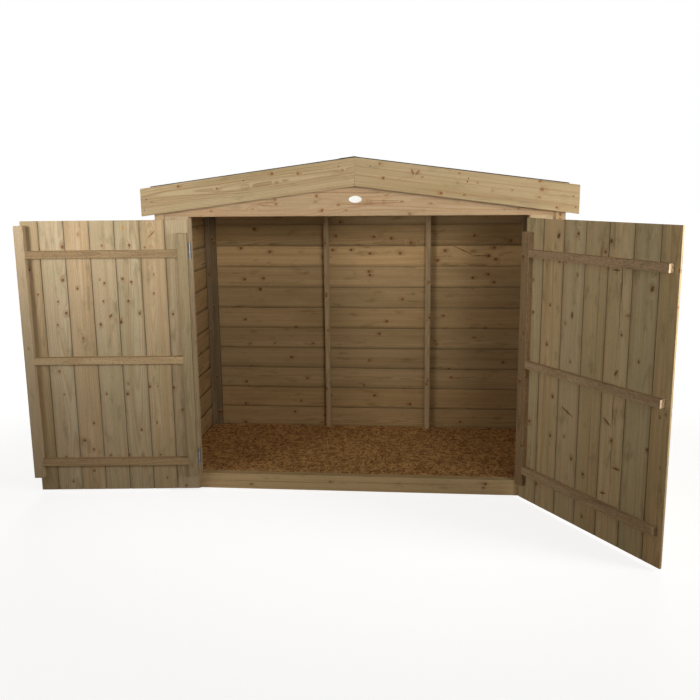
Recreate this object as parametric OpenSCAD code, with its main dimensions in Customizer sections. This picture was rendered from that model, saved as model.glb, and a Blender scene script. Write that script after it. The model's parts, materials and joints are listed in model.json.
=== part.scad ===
// Timber bike shelter: overlap-boarded walls, a shallow felted roof with its ridge from front to back,
// and a pair of ledged doors on butt hinges. X runs to the right, Y to the back and Z up, in millimetres.
// The origin is on the underside of the middle floor joist, at the middle of the framing.

/* [Doorway] */
// Width of the doorway between its posts
doorway_w = 1550; // [1300:10:1800]
// Height of the doorway's head above the ground
doorway_h = 1328; // [1200:4:1700]

/* [Framing] */
// Gap between each door post and its corner post
post_gap = 51; // [30:1:200]
// Height of the roof's underside above the doorway's head, at the side frames
eaves_rise = 130; // [115:1:250]
// Depth over the front and back frames
frame_d = 752; // [650:10:1200]
// Width of each frame timber
timber_w = 44; // [38:1:50]
// Thickness of each frame timber
timber_t = 28; // [25:1:32]
// Left batten of the back wall, from the middle
back_batten_left = 224; // [200:5:400]
// Right batten of the back wall, from the middle
back_batten_right = 345; // [200:5:400]
// Gap between the two battens in each back corner
corner_gap = 1; // [0.5:0.5:5]

/* [Floor] */
// Height of the floor's top above the ground
floor_h = 76; // [65:1:110]
// Thickness of the floor board
floor_t = 12; // [9:1:18]
// Set-back of the sill behind the front frame
sill_setback = 5; // [5:1:8]

/* [Boards] */
// Thickness of the door, gable and front boards
board_t = 11; // [9:1:14]
// Cover width of a tongued board
board_cover = 116; // [90:1:140]
// Width of the trimmed first board beside the hinges
first_board = 105; // [60:1:116]
// Depth of the V joint between boards
joint_v = 2; // [1:0.5:3]
// Cover of the lower gable board above the doors
gable_cover = 104; // [80:1:120]

/* [Overlap walls] */
// Height of wall that each overlap board shows
lap_exposure = 118; // [95:1:140]
// Height that neighbouring boards overlap
lap = 18; // [12:1:25]
// Thickness of an overlap board
lap_t = 8; // [6:0.5:10]
// Height of the walls' lower edge above the ground
wall_bottom = 10; // [0:1:25]
// Height of the lowest lap above the ground
first_lap = 48; // [20:1:110]
// Width of the corner strips
strip_w = 44; // [38:1:60]
// Thickness of the corner strips
strip_t = 16; // [12:1:18]

/* [Roof] */
// Fall of the roof for each millimetre across
roof_fall = 0.131; // [0.08:0.001:0.16]
// Thickness of the roof boards
deck_t = 11; // [9:1:18]
// Drip of the roof past each side wall
side_drip = 5; // [5:1:40]
// Overhang of the roof at the front and back
end_overhang = 21; // [10:1:60]
// Thickness of the roof felt
felt_t = 3; // [2:0.5:5]
// Turn-down of the felt at the eaves
felt_drop = 32; // [20:1:60]
// Overhang of the barge boards past each side wall
barge_overhang = 50; // [20:1:120]
// Upright height of the barge boards
barge_h = 125; // [90:1:140]
// Thickness of the barge boards
barge_t = 16; // [12:1:22]
// Drop of the barge boards' top below the roof boards' top
barge_drop = 3; // [0:0.5:8]
// Clearance between the roof boards and what carries them
seat_gap = 0.2; // [0.1:0.1:1]

/* [Badge] */
// Width of the blank oval badge
badge_w = 58; // [40:1:80]
// Height of the badge
badge_h = 31; // [20:1:45]
// Height of the badge's middle above the doorway's head
badge_rise = 74; // [60:1:80]
// Thickness of the badge
badge_t = 2; // [1:0.5:3]

/* [Doors] */
// Gap between a door and its post
hinge_gap = 5; // [5:0.5:7]
// Gap between the two doors when closed
meeting_gap = 5; // [5:0.5:10]
// Gap below the doorway's head
head_gap = 12; // [6:1:20]
// Height of the doors' lower edge above the ground
door_bottom = 12; // [8:1:40]
// Thickness of ledges, battens and the meeting strip
ledge_t = 28; // [20:1:32]
// Height of each ledge
ledge_h = 34; // [28:1:60]
// Height of the bottom ledge's middle above the doors' lower edge
ledge_rise = 148; // [140:1:300]
// Depth of the top ledge's middle below the doors' top
ledge_drop = 153; // [80:1:300]
// Width of the upright battens and of the meeting strip
batten_w = 44; // [38:1:50]
// Clearance of the battens above the sill
batten_rise = 8; // [6:1:20]
// Distance of the hinge battens' top below the doors' top
batten_drop = 60; // [20:5:100]
// Distance of the meeting strip's top below the doors' top
strip_drop = 20; // [15:1:60]
// Part of the meeting strip that stands past the left door's edge
strip_lap = 20; // [15:1:22]
// Gap between the right door's ledges and the meeting strip when closed
strip_gap = 10; // [6:1:20]
// Opening angle of the left door as shown
left_open = 175; // [90:1:176]
// Opening angle of the right door as shown
right_open = 125; // [90:1:176]

/* [Hinges] */
// Height of each hinge
hinge_h = 76; // [60:1:100]
// Width of a leaf from the pin's middle
leaf_w = 30; // [25:1:38]
// Thickness of a leaf
leaf_t = 1.6; // [1.2:0.1:2]
// Outer diameter of the knuckles
knuckle_d = 8; // [7:0.1:9]
// Diameter of the pin
pin_d = 4.4; // [3.6:0.1:5]
// Number of knuckles, odd
knuckles = 5; // [3:2:7]
// Clearance round the pin
pin_play = 0.07; // [0.05:0.01:0.1]
// Gap between neighbouring knuckles
knuckle_gap = 0.4; // [0.3:0.1:1]
// Clearance between the knuckles and the boards' face
knuckle_clear = 0.5; // [0.3:0.1:1]
// Height of the lower hinges' middle above the doors' lower edge
hinge_rise = 159; // [125:1:300]
// Depth of the upper hinges' middle below the doors' top
hinge_drop = 143; // [100:1:300]

/* [Hidden] */
$fn = 48;
front_y = -frame_d / 2;
back_y = frame_d / 2;
door_in = doorway_w / 2;
post_in = door_in + timber_w + post_gap;
half_w = post_in + timber_w;
back_in = half_w - timber_t;
wall_t = 2 * lap_t;
body_half = half_w + wall_t;
deck_half = body_half + side_drip;
pitch = atan(roof_fall);
deck_rise = deck_t / cos(pitch);
ridge_h = doorway_h + eaves_rise + roof_fall * half_w + deck_rise;
felt_rise = felt_t / cos(pitch);
strip_in = body_half - strip_w;
floor_underside = floor_h - floor_t;
door_w = door_in - hinge_gap - meeting_gap / 2;
door_top = doorway_h - head_gap;
batten_low = floor_h + batten_rise;
batten_high = door_top - batten_drop;
strip_high = door_top - strip_drop;
ledge_low = door_bottom + ledge_rise;
ledge_top = door_top - ledge_drop;
hinge_low = door_bottom + hinge_rise;
hinge_high = door_top - hinge_drop;
pin_out = knuckle_d / 2 + knuckle_clear;
pin_x = door_in - hinge_gap / 2;
pin_y = front_y - board_t - pin_out;
edge_u = hinge_gap / 2;
free_u = edge_u + door_w;
inner_v = pin_out + board_t;
rail_h = timber_w;
roof_y0 = front_y - board_t - end_overhang;
roof_y1 = back_y + wall_t + end_overhang;
barge_top = ridge_h - barge_drop;
gable_top = doorway_h + gable_cover;
knuckle_h = (hinge_h - (knuckles - 1) * knuckle_gap) / knuckles;
laps = ceil((ridge_h - first_lap) / lap_exposure);

// Height of what seats under the roof boards, x across from the ridge
function under(x) = ridge_h - deck_rise - seat_gap - roof_fall * abs(x);

// Placing helpers

module box(x0, x1, y0, y1, z0, z1) {
    translate([x0, y0, z0]) cube([x1 - x0, y1 - y0, z1 - z0]);
}

// Extrudes an outline drawn across and up, from y0 back to y1
module from_front(y0, y1) {
    translate([0, y1, 0]) rotate([90, 0, 0]) linear_extrude(y1 - y0) children();
}

// Extrudes an outline drawn outward and up, from x0 to x1
module from_side(x0, x1) {
    translate([x0, 0, 0]) rotate([90, 0, 90]) linear_extrude(x1 - x0) children();
}

// The same piece on the other side of the ridge
module other_side() {
    mirror([1, 0, 0]) children();
}

// Puts what is drawn about a closed left door's pin at the open left door
module on_left_door() {
    translate([-pin_x, pin_y, 0]) rotate([0, 0, -left_open]) children();
}

module on_right_door() {
    translate([pin_x, pin_y, 0]) rotate([0, 0, right_open]) mirror([1, 0, 0]) children();
}

// Outlines

// Upright timber from x0 to x1 whose top follows the roof, with x0 and x1 on one side of the ridge
module post_outline(x0, x1, z0) {
    polygon([[x0, z0], [x1, z0], [x1, under(x1)], [x0, under(x0)]]);
}

// Tongued boards standing side by side, seen from above, with a V joint on both faces
module boarding_outline(width, first) {
    difference() {
        square([width, board_t]);
        for (x = [first : board_cover : width - 2 * joint_v]) {
            polygon([[x - joint_v, 0], [x + joint_v, 0], [x, joint_v]]);
            polygon([[x - joint_v, board_t], [x + joint_v, board_t], [x, board_t - joint_v]]);
        }
    }
}

// One overlap board seen from its end: it leans out over the top of the board below
module lap_board_outline(z) {
    polygon([[lap_t, z], [wall_t, z], [lap_t, z + lap_exposure + lap], [0, z + lap_exposure + lap]]);
}

// A wall of overlap boards seen from its end, x outward from the frame
module lap_wall_outline(top) {
    intersection() {
        union() {
            for (i = [-1 : laps]) lap_board_outline(first_lap + i * lap_exposure);
        }
        translate([0, wall_bottom]) square([wall_t, top - wall_bottom]);
    }
}

// Floor

module floor_board() {
    color("peru") box(-half_w, half_w, front_y + timber_w, back_y, floor_underside, floor_h);
}

module floor_joists() {
    side_in = half_w - timber_w;
    color("tan") {
        box(-side_in, side_in, front_y + timber_w, front_y + 2 * timber_w, 0, floor_underside);
        box(-side_in, side_in, -timber_w / 2, timber_w / 2, 0, floor_underside);
        box(-side_in, side_in, back_y - timber_w, back_y, 0, floor_underside);
    }
}

module floor_side_bearers() {
    color("tan") {
        box(-half_w, timber_w - half_w, front_y + timber_w, back_y, 0, floor_underside);
        box(half_w - timber_w, half_w, front_y + timber_w, back_y, 0, floor_underside);
    }
}

module door_sill() {
    color("tan") box(-door_in, door_in, front_y + sill_setback, front_y + timber_w, 0, floor_h);
}

// Frame

module door_post_left() {
    color("burlywood") box(-door_in - timber_w, -door_in, front_y, front_y + timber_w, 0, doorway_h);
}

module door_post_right() {
    color("burlywood") box(door_in, door_in + timber_w, front_y, front_y + timber_w, 0, doorway_h);
}

module front_corner_post() {
    from_front(front_y, front_y + timber_w) post_outline(-half_w, -post_in, 0);
}

module front_corner_posts() {
    color("burlywood") {
        front_corner_post();
        other_side() front_corner_post();
    }
}

module header_rail() {
    color("burlywood") box(-post_in, post_in, front_y, front_y + timber_w, doorway_h, doorway_h + rail_h);
}

// Sloping rail under the left half of the roof, from the ridge beam to the corner upright at end
module gable_rail(end) {
    inner = timber_t / 2;
    polygon([[-inner, under(inner)], [-end, under(end)], [-end, under(end) - rail_h],
             [-inner, under(inner) - rail_h]]);
}

module front_gable_rails() {
    color("burlywood") from_front(front_y, front_y + timber_t) {
        gable_rail(post_in);
        other_side() gable_rail(post_in);
    }
}

module back_gable_rails() {
    color("burlywood") from_front(back_y - timber_t, back_y) {
        gable_rail(back_in);
        other_side() gable_rail(back_in);
    }
}

module ridge_beam() {
    side = timber_t / 2;
    low = under(side) - rail_h;
    color("burlywood") from_front(front_y, back_y)
        polygon([[-side, low], [side, low], [side, under(side)], [0, under(0)], [-side, under(side)]]);
}

module eaves_rail() {
    inner = half_w - timber_t;
    from_front(front_y + timber_w, back_y - timber_t)
        polygon([[-half_w, under(half_w)], [-inner, under(inner)], [-inner, under(half_w) - rail_h],
                 [-half_w, under(half_w) - rail_h]]);
}

module eaves_rails() {
    color("burlywood") {
        eaves_rail();
        other_side() eaves_rail();
    }
}

module back_batten(x) {
    box(x - timber_t / 2, x + timber_t / 2, back_y - timber_t, back_y, floor_h, doorway_h);
}

// Side panel's last batten, up to the roof, and the back panel's first one beside it
module back_corner_battens() {
    from_front(back_y - timber_t, back_y) post_outline(-half_w, -back_in, floor_h);
    back_batten(-back_in + corner_gap + timber_t / 2);
}

module back_posts() {
    color("burlywood") {
        back_corner_battens();
        other_side() back_corner_battens();
        back_batten(-back_batten_left);
        back_batten(back_batten_right);
    }
}

module back_top_rail() {
    color("burlywood") box(-back_in, back_in, back_y - timber_t, back_y, doorway_h, doorway_h + rail_h);
}

// Walls

module right_wall_boards() {
    color("tan") translate([half_w, 0, 0]) from_front(front_y, back_y) lap_wall_outline(under(body_half));
}

module left_wall_boards() {
    other_side() right_wall_boards();
}

module back_wall_boards() {
    color("tan") intersection() {
        translate([0, back_y, 0]) from_side(-strip_in, strip_in) lap_wall_outline(under(0));
        from_front(back_y - 1, back_y + wall_t + 1)
            polygon([[-strip_in, 0], [strip_in, 0], [strip_in, under(strip_in)], [0, under(0)],
                     [-strip_in, under(strip_in)]]);
    }
}

module front_panel(left) {
    panel_w = strip_in - door_in;
    panel_h = doorway_h - door_bottom;
    color("burlywood") translate([left, front_y - board_t, door_bottom]) linear_extrude(panel_h)
        boarding_outline(panel_w, first_board);
}

module front_panel_left() {
    front_panel(-strip_in);
}

module front_panel_right() {
    other_side() front_panel(-strip_in);
}

// The V joint between the two gable boards
module gable_joint() {
    face = front_y - board_t;
    from_side(-body_half, body_half)
        polygon([[face, gable_top - joint_v], [face + joint_v, gable_top], [face, gable_top + joint_v]]);
}

module front_gable_lower_board() {
    color("tan") difference() {
        from_front(front_y - board_t, front_y) polygon([[-strip_in, doorway_h], [strip_in, doorway_h],
            [strip_in, gable_top], [-strip_in, gable_top]]);
        gable_joint();
    }
}

module front_gable_upper_board() {
    color("tan") difference() {
        from_front(front_y - board_t, front_y) polygon([[-strip_in, gable_top], [strip_in, gable_top],
            [strip_in, under(strip_in)], [0, under(0)], [-strip_in, under(strip_in)]]);
        gable_joint();
    }
}

module corner_strip(y0, y1) {
    color("burlywood") from_front(y0, y1) post_outline(-body_half, -strip_in, wall_bottom);
}

module corner_strip_front_left() {
    corner_strip(front_y - strip_t, front_y);
}

module corner_strip_front_right() {
    other_side() corner_strip(front_y - strip_t, front_y);
}

module corner_strip_back_left() {
    corner_strip(back_y, back_y + strip_t);
}

module corner_strip_back_right() {
    other_side() corner_strip(back_y, back_y + strip_t);
}

// Roof

module roof_boards_left() {
    low = ridge_h - roof_fall * deck_half;
    color("burlywood") from_front(roof_y0, roof_y1)
        polygon([[0, ridge_h], [-deck_half, low], [-deck_half, low - deck_rise], [0, ridge_h - deck_rise]]);
}

module roof_boards_right() {
    other_side() roof_boards_left();
}

module roof_felt_left() {
    edge = deck_half + felt_t;
    low = ridge_h - roof_fall * deck_half;
    color("dimgray") from_front(roof_y0, roof_y1)
        polygon([[0, ridge_h + felt_rise], [-deck_half, low + felt_rise], [-edge, low],
                 [-edge, low - felt_drop], [-deck_half, low - felt_drop], [-deck_half, low], [0, ridge_h]]);
}

module roof_felt_right() {
    other_side() roof_felt_left();
}

module barge_board(y0) {
    end = body_half + barge_overhang;
    low = barge_top - roof_fall * end;
    color("tan") from_front(y0, y0 + barge_t)
        polygon([[0, barge_top], [-end, low], [-end, low - barge_h], [0, barge_top - barge_h]]);
}

module barge_board_front_left() {
    barge_board(roof_y0 - barge_t);
}

module barge_board_front_right() {
    other_side() barge_board(roof_y0 - barge_t);
}

module barge_board_back_left() {
    barge_board(roof_y1);
}

module barge_board_back_right() {
    other_side() barge_board(roof_y1);
}

module badge_plate() {
    face = front_y - board_t;
    color("white") translate([0, 0, doorway_h + badge_rise]) from_front(face - badge_t, face)
        polygon([for (a = [0 : 7.5 : 352.5]) [badge_w / 2 * cos(a), badge_h / 2 * sin(a)]]);
}

// Doors, drawn closed about the hinge pin: x to the free edge and y inward

module door_boards() {
    color("tan") translate([edge_u, pin_out, door_bottom]) linear_extrude(door_top - door_bottom)
        boarding_outline(door_w, first_board);
}

module door_ledges(end) {
    color("burlywood") for (z = [ledge_low, (ledge_low + ledge_top) / 2, ledge_top])
        box(edge_u + batten_w, end, inner_v, inner_v + ledge_t, z - ledge_h / 2, z + ledge_h / 2);
}

module door_batten() {
    color("burlywood") box(edge_u, edge_u + batten_w, inner_v, inner_v + ledge_t, batten_low, batten_high);
}

module left_door_boards() {
    on_left_door() door_boards();
}

module left_door_ledges() {
    on_left_door() door_ledges(free_u + strip_lap - batten_w);
}

module left_door_batten() {
    on_left_door() door_batten();
}

module meeting_strip() {
    end = free_u + strip_lap;
    color("burlywood") on_left_door()
        box(end - batten_w, end, inner_v, inner_v + ledge_t, batten_low, strip_high);
}

module right_door_boards() {
    on_right_door() door_boards();
}

module right_door_ledges() {
    on_right_door() door_ledges(free_u + meeting_gap - strip_lap - strip_gap);
}

module right_door_batten() {
    on_right_door() door_batten();
}

// Hinges

function knuckle_z(i) = i * (knuckle_h + knuckle_gap);

// Flat of a leaf with a tab to every second knuckle, and those knuckles, about the pin
module leaf(first) {
    clear = knuckle_d / 2 + knuckle_clear;
    translate([hinge_gap / 2 - leaf_t, clear, 0]) cube([leaf_t, leaf_w - clear, hinge_h]);
    for (i = [first : 2 : knuckles - 1]) translate([0, 0, knuckle_z(i)]) {
        translate([hinge_gap / 2 - leaf_t, pin_d / 2, 0]) cube([leaf_t, clear, knuckle_h]);
        cylinder(h = knuckle_h, d = knuckle_d);
    }
}

// Leaf on the post, with the pin
module post_leaf() {
    leaf(0);
    cylinder(h = hinge_h, d = pin_d);
}

// Leaf on the door, with the pin's bore
module door_leaf() {
    difference() {
        leaf(1);
        translate([0, 0, -1]) cylinder(h = hinge_h + 2, d = pin_d + 2 * pin_play);
    }
}

module post_leaves() {
    color("silver") for (z = [hinge_low, hinge_high])
        translate([pin_x, pin_y, z - hinge_h / 2]) post_leaf();
}

module right_post_hinge_leaves() {
    post_leaves();
}

module left_post_hinge_leaves() {
    other_side() post_leaves();
}

module door_leaves() {
    color("silver") for (z = [hinge_low, hinge_high]) translate([0, 0, z - hinge_h / 2]) door_leaf();
}

module left_door_hinge_leaves() {
    on_left_door() door_leaves();
}

module right_door_hinge_leaves() {
    on_right_door() door_leaves();
}

floor_board();
floor_joists();
floor_side_bearers();
door_sill();
door_post_left();
door_post_right();
front_corner_posts();
header_rail();
front_gable_lower_board();
front_gable_upper_board();
front_gable_rails();
back_gable_rails();
ridge_beam();
eaves_rails();
left_wall_boards();
right_wall_boards();
back_wall_boards();
back_posts();
back_top_rail();
front_panel_left();
front_panel_right();
corner_strip_front_left();
corner_strip_front_right();
corner_strip_back_left();
corner_strip_back_right();
roof_boards_left();
roof_boards_right();
roof_felt_left();
roof_felt_right();
barge_board_front_left();
barge_board_front_right();
barge_board_back_left();
barge_board_back_right();
badge_plate();
left_post_hinge_leaves();
right_post_hinge_leaves();
left_door_boards();
left_door_ledges();
left_door_batten();
meeting_strip();
left_door_hinge_leaves();
right_door_boards();
right_door_ledges();
right_door_batten();
right_door_hinge_leaves();
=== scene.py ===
"""Timber bike shelter: every board, nail, screw and sheet of felt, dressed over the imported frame.

Lengths are in metres. X runs to the right, Y to the back and Z up.
"""
import json
import math
import random

import bmesh
import bpy
from mathutils import Matrix, Vector


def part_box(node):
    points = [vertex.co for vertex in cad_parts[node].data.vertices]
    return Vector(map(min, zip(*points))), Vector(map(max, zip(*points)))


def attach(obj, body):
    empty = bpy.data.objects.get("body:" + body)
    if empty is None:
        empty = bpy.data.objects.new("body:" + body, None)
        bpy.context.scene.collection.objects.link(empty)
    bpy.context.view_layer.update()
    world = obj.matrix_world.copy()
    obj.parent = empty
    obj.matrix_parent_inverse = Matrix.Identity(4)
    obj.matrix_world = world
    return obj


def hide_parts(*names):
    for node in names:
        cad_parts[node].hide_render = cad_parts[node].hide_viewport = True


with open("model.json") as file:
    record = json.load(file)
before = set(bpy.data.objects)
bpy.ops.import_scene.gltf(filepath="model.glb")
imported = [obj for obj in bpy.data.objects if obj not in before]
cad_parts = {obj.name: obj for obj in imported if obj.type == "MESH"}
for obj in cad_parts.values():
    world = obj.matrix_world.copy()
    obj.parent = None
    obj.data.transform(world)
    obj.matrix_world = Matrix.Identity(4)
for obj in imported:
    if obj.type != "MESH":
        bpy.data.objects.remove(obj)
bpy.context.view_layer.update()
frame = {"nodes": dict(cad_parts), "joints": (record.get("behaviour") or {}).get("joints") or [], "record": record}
NODES = frame["nodes"]
SLOTS = {part["node"]: part["material_slot"] for part in frame["record"]["subparts"]}
BODIES = frame["record"]["behaviour"]["bodies"]
BODY_OF = {node: body for body, nodes in BODIES.items() for node in nodes}
JOINTS = {joint["name"]: joint for joint in frame["joints"]}
X, Y, Z = Vector((1, 0, 0)), Vector((0, 1, 0)), Vector((0, 0, 1))

# Sizes that the frame doesn't hold by themselves, in metres, and the doors' opening from closed, in degrees
BARGE_H = 0.125  # height of a barge board
COVER = 0.116  # what one tongued door board covers
FIRST_BOARD = 0.105  # what the board beside the hinges covers
VEE = 0.002  # depth and half width of the joints between door boards
EASE = 0.0008  # how far the boards' arrises are eased
LAP_T = 0.008  # thickness of an overlap board
EXPOSURE = 0.118  # how much of an overlap board shows
LAP = 0.018  # how far it runs behind the one above
FIRST_LAP = 0.048  # height of the lowest lap above the ground
OPEN_ANGLE = {"left": -175, "right": 125}
PROUD = 0.0009  # room for nail heads on the back barge boards


# Nodes of a material

class Value:
    """An output in a material's tree. Sums and products of numbers are written as in any formula."""

    def __init__(self, tree, socket):
        self.tree = tree
        self.socket = socket

    def __add__(self, other):
        return self.tree.math("ADD", self, other)

    def __sub__(self, other):
        return self.tree.math("SUBTRACT", self, other)

    def __rsub__(self, other):
        return self.tree.math("SUBTRACT", other, self)

    def __mul__(self, other):
        return self.tree.math("MULTIPLY", self, other)

    def __truediv__(self, other):
        return self.tree.math("DIVIDE", self, other)

    __radd__ = __add__
    __rmul__ = __mul__


class Tree:
    """Short calls for a material's nodes."""

    def __init__(self, name):
        self.material = bpy.data.materials.new(name)
        self.material.use_nodes = True
        self.tree = self.material.node_tree
        self.shader = self.tree.nodes["Principled BSDF"]

    def put(self, socket, value):
        if isinstance(value, Value):
            value = value.socket
        if isinstance(value, bpy.types.NodeSocket):
            self.tree.links.new(value, socket)
        elif value is not None:
            socket.default_value = value

    def node(self, kind, inputs=(), **settings):
        made = self.tree.nodes.new(kind)
        for key, value in settings.items():
            setattr(made, key, value)
        for key, value in dict(inputs).items():
            self.put(made.inputs[key], value)
        return made

    def value(self, kind, inputs=(), output=0, **settings):
        return Value(self, self.node(kind, inputs, **settings).outputs[output])

    def math(self, operation, *numbers):
        return self.value("ShaderNodeMath", enumerate(numbers), operation=operation)

    def most(self, a, b):
        return self.math("MAXIMUM", a, b)

    def hypot(self, a, b):
        return self.math("SQRT", a * a + b * b)

    def vector(self, *numbers):
        return self.value("ShaderNodeCombineXYZ", enumerate(numbers))

    def split(self, vector):
        made = self.node("ShaderNodeSeparateXYZ", {0: vector})
        return [Value(self, output) for output in made.outputs]

    def attribute(self, name, output="Vector"):
        return self.value("ShaderNodeAttribute", output=output, attribute_name=name)

    def place(self):
        return self.value("ShaderNodeTexCoord", output="Object")

    def noise(self, vector, scale, detail=2.0, rough=0.5, output="Fac"):
        settings = {"Vector": vector, "Scale": scale, "Detail": detail, "Roughness": rough}
        return self.value("ShaderNodeTexNoise", settings, output)

    def ramp(self, value, low, high, out_low=0.0, out_high=1.0):
        limits = {"Value": value, "From Min": low, "From Max": high, "To Min": out_low, "To Max": out_high}
        return self.value("ShaderNodeMapRange", limits, "Result", interpolation_type="SMOOTHSTEP")

    def mix(self, factor, a, b, blend="MIX"):
        return self.value("ShaderNodeMix", {0: factor, 6: a, 7: b}, 2, data_type="RGBA", blend_type=blend)

    def finish(self, colour, roughness, height, distance, strength, specular=0.3, metallic=0.0):
        self.put(self.shader.inputs["Base Color"], colour)
        self.put(self.shader.inputs["Roughness"], roughness)
        self.shader.inputs["Specular IOR Level"].default_value = specular
        self.shader.inputs["Metallic"].default_value = metallic
        bump = self.value("ShaderNodeBump", {"Strength": strength, "Distance": distance, "Height": height})
        self.put(self.shader.inputs["Normal"], bump)
        return self.material


def linear(*screen):
    """A colour written as it looks on screen, 0 to 255, made linear."""
    parts = [c / 255 for c in screen]
    return tuple(c / 12.92 if c <= 0.04045 else ((c + 0.055) / 1.055) ** 2.4 for c in parts) + (1.0,)


def knot_marks(t, u, v, ragged_by):
    """What the three nearest knots do to the wood: how far the rings swell round them and, each from 0 to 1,
    their core, brown halo, pale patch, dead and amber parts, and the rings inside them."""
    swelling = core = halo = light = dead = amber = rings = 0.0
    for side in "abc":
        ku, kv, kr = t.split(t.attribute("knot_" + side))
        angle, dark, aspect = t.split(t.attribute("shape_" + side))
        du, dk = u - ku, v - kv
        cosine, sine = t.math("COSINE", angle), t.math("SINE", angle)
        ragged = t.hypot((du * cosine + dk * sine) / aspect, dk * cosine - du * sine) / kr + ragged_by
        eu, ev = du / (kr * 4.2), dk / (kr * 2.1)
        swelling = swelling + t.math("EXPONENT", (eu * eu + ev * ev) * -1.0) * kr * 1.5
        # The halo lies to one side along the grain and the pale patch to the other
        turned = t.math("SIGN", t.math("SINE", ku * 900.0))
        level = dk / kr
        brown = t.hypot((du + kr * turned * 0.9) / (kr * 1.5), level) + ragged_by
        pale_spot = t.hypot((du - kr * turned * 1.9) / kr, level) + ragged_by
        inside = t.ramp(ragged, 1.35, 0.95)
        full = t.ramp(dark, -0.2, 0.45)
        core = t.most(core, inside * full)
        halo = t.most(halo, t.ramp(brown, 3.4, 0.8) * full)
        light = t.most(light, t.ramp(pale_spot, 2.3, 0.9) * full)
        dead = t.most(dead, inside * dark)
        amber = t.most(amber, inside * t.most(dark * -1.0, 0.0))
        rings = t.most(rings, inside * t.math("SINE", ragged * 17.0))
    return swelling, core, halo, light, dead, amber, rings


def wood(name, pale, late, stain, contrast=0.5, ring=0.0042, saw=0.0, streaks=0.5, flecks=0.0):
    """Softwood cut from a round log: growth rings about a wandering pith, fibres, knots and treatment stain.
    ring is their spacing. contrast, saw, streaks and flecks say how strongly the grain, the saw's marks, brown
    streaks and torn fibres show."""
    t = Tree(name)
    pale, late, stain = linear(*pale), linear(*late), linear(*stain)
    u, v, w = t.split(t.attribute("grain"))
    pith_v, pith_w, seed = t.split(t.attribute("pith"))
    shift = seed * 61.0
    su = u + shift

    def spots(along, across, detail=2.0, rough=0.5):
        """Noise with about so many spots in a metre along the grain and across it."""
        return t.noise(t.vector(su * along, v * across, w * across), 1.0, detail, rough)

    # The pith wanders beside the board, and the rings about it wobble and swell round the knots
    wander_v, wander_w, _ = t.split(t.noise(t.vector(su * 1.1, shift, 0.0), 1.0, 1.0, output="Color"))
    away_v = v - pith_v + (wander_v - 0.5) * 0.09
    away_w = w - pith_w + (wander_w - 0.5) * 0.05
    near = spots(90.0, 150.0, 3.0, 0.6)
    swelling, core, halo, light, dead, amber, knot_rings = knot_marks(t, u, v, (near - 0.5) * 1.3)
    radius = t.hypot(away_v, away_w) + (spots(3.0, 22.0) - 0.5) * 0.006 + swelling

    # Each year's ring has its own depth of latewood
    turns = radius / ((t.math("FRACT", seed * 7.31) + 0.65) * ring)
    part = t.math("FRACT", turns)
    year = t.value("ShaderNodeTexWhiteNoise", {"W": t.math("FLOOR", turns) + shift}, noise_dimensions="1D")
    latewood = t.ramp(part, 0.35, 0.9) * t.ramp(part, 1.0, 0.93) * (year * 0.7 + 0.45)

    # Rings, stain, streaks and the board's own tint
    streak = spots(0.9, 55.0, 3.0)
    line = spots(4.0, 190.0)
    fibre = spots(18.0, 1500.0)
    blotch = spots(2.4, 9.0, 3.0)
    cloud = spots(9.0, 26.0, 3.0, 0.6)
    mottle = spots(75.0, 210.0, 3.0, 0.65)
    grit = spots(230.0, 340.0)
    colour = t.mix(latewood * contrast, pale, late)
    colour = t.mix(t.ramp(blotch, 0.42, 0.72, 0.0, 0.55), colour, stain)
    colour = t.mix(t.ramp(streak, 0.35, 0.8, 0.0, streaks), colour, late)
    colour = t.mix(1.0, colour, t.attribute("tone", "Color"), "MULTIPLY")
    cloudy = t.mix(1.0, stain, linear(196, 190, 178), "MULTIPLY")
    colour = t.mix(t.ramp(cloud, 0.54, 0.78, 0.0, 0.55), colour, cloudy)
    lift = fibre * 0.12 + streak * 0.1 + line * 0.24 + mottle * 0.26 + grit * 0.2 + 0.54
    colour = t.mix(1.0, colour, t.vector(lift, lift, lift), "MULTIPLY")
    if flecks:
        torn = spots(75.0, 260.0, 4.0, 0.75)
        colour = t.mix(t.ramp(torn, 0.47, 0.66, 0.0, flecks), colour, linear(92, 68, 46))

    # Knots
    colour = t.mix(light * 0.3, colour, t.mix(1.0, pale, linear(255, 250, 240), "MULTIPLY"))
    colour = t.mix(halo * t.ramp(near, 0.25, 0.75, 0.2, 0.56), colour, linear(138, 90, 52))
    brown = t.mix(t.ramp(knot_rings, 0.2, 0.9, 0.0, 0.5), linear(126, 80, 48), linear(96, 58, 34))
    colour = t.mix(core * 0.72, colour, brown)
    colour = t.mix(dead * 0.42, colour, linear(62, 38, 24))
    colour = t.mix(amber, colour, linear(190, 136, 62))

    # Edges: worn pale with a painted highlight on the arrises; darkened by dark joints, soil and painted shade; or
    # freshly cut
    edge = t.attribute("edge", "Fac")
    cut = t.ramp(edge, 1.4, 1.6)
    # Wear and, on eased arrises, partly a painted highlight
    worn = t.most(t.math("MINIMUM", edge, 1.0), 0.0) * (1.0 - cut)
    # Dark joints and soil, and painted shade in crevices between overlap boards and under the board above
    soil = t.most(edge * -1.0, 0.0)
    colour = t.mix(worn * t.ramp(near, 0.3, 0.7, 0.1, 0.5), colour, linear(196, 174, 138))
    colour = t.mix(soil * 0.62, colour, linear(60, 50, 34))
    # Freshly cut end grain, pale; at the meeting strip's top it is partly a painted highlight
    colour = t.mix(cut * 0.75, colour, linear(234, 205, 168))

    height = latewood * 0.25 + fibre * 0.5 - core * 0.3
    if saw:
        height = height + spots(420.0, 14.0, 1.0) * saw
    roughness = fibre * 0.12 - latewood * 0.08 + 0.68
    return t.finish(colour, roughness, height, 0.0006, 0.55, 0.12)


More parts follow.
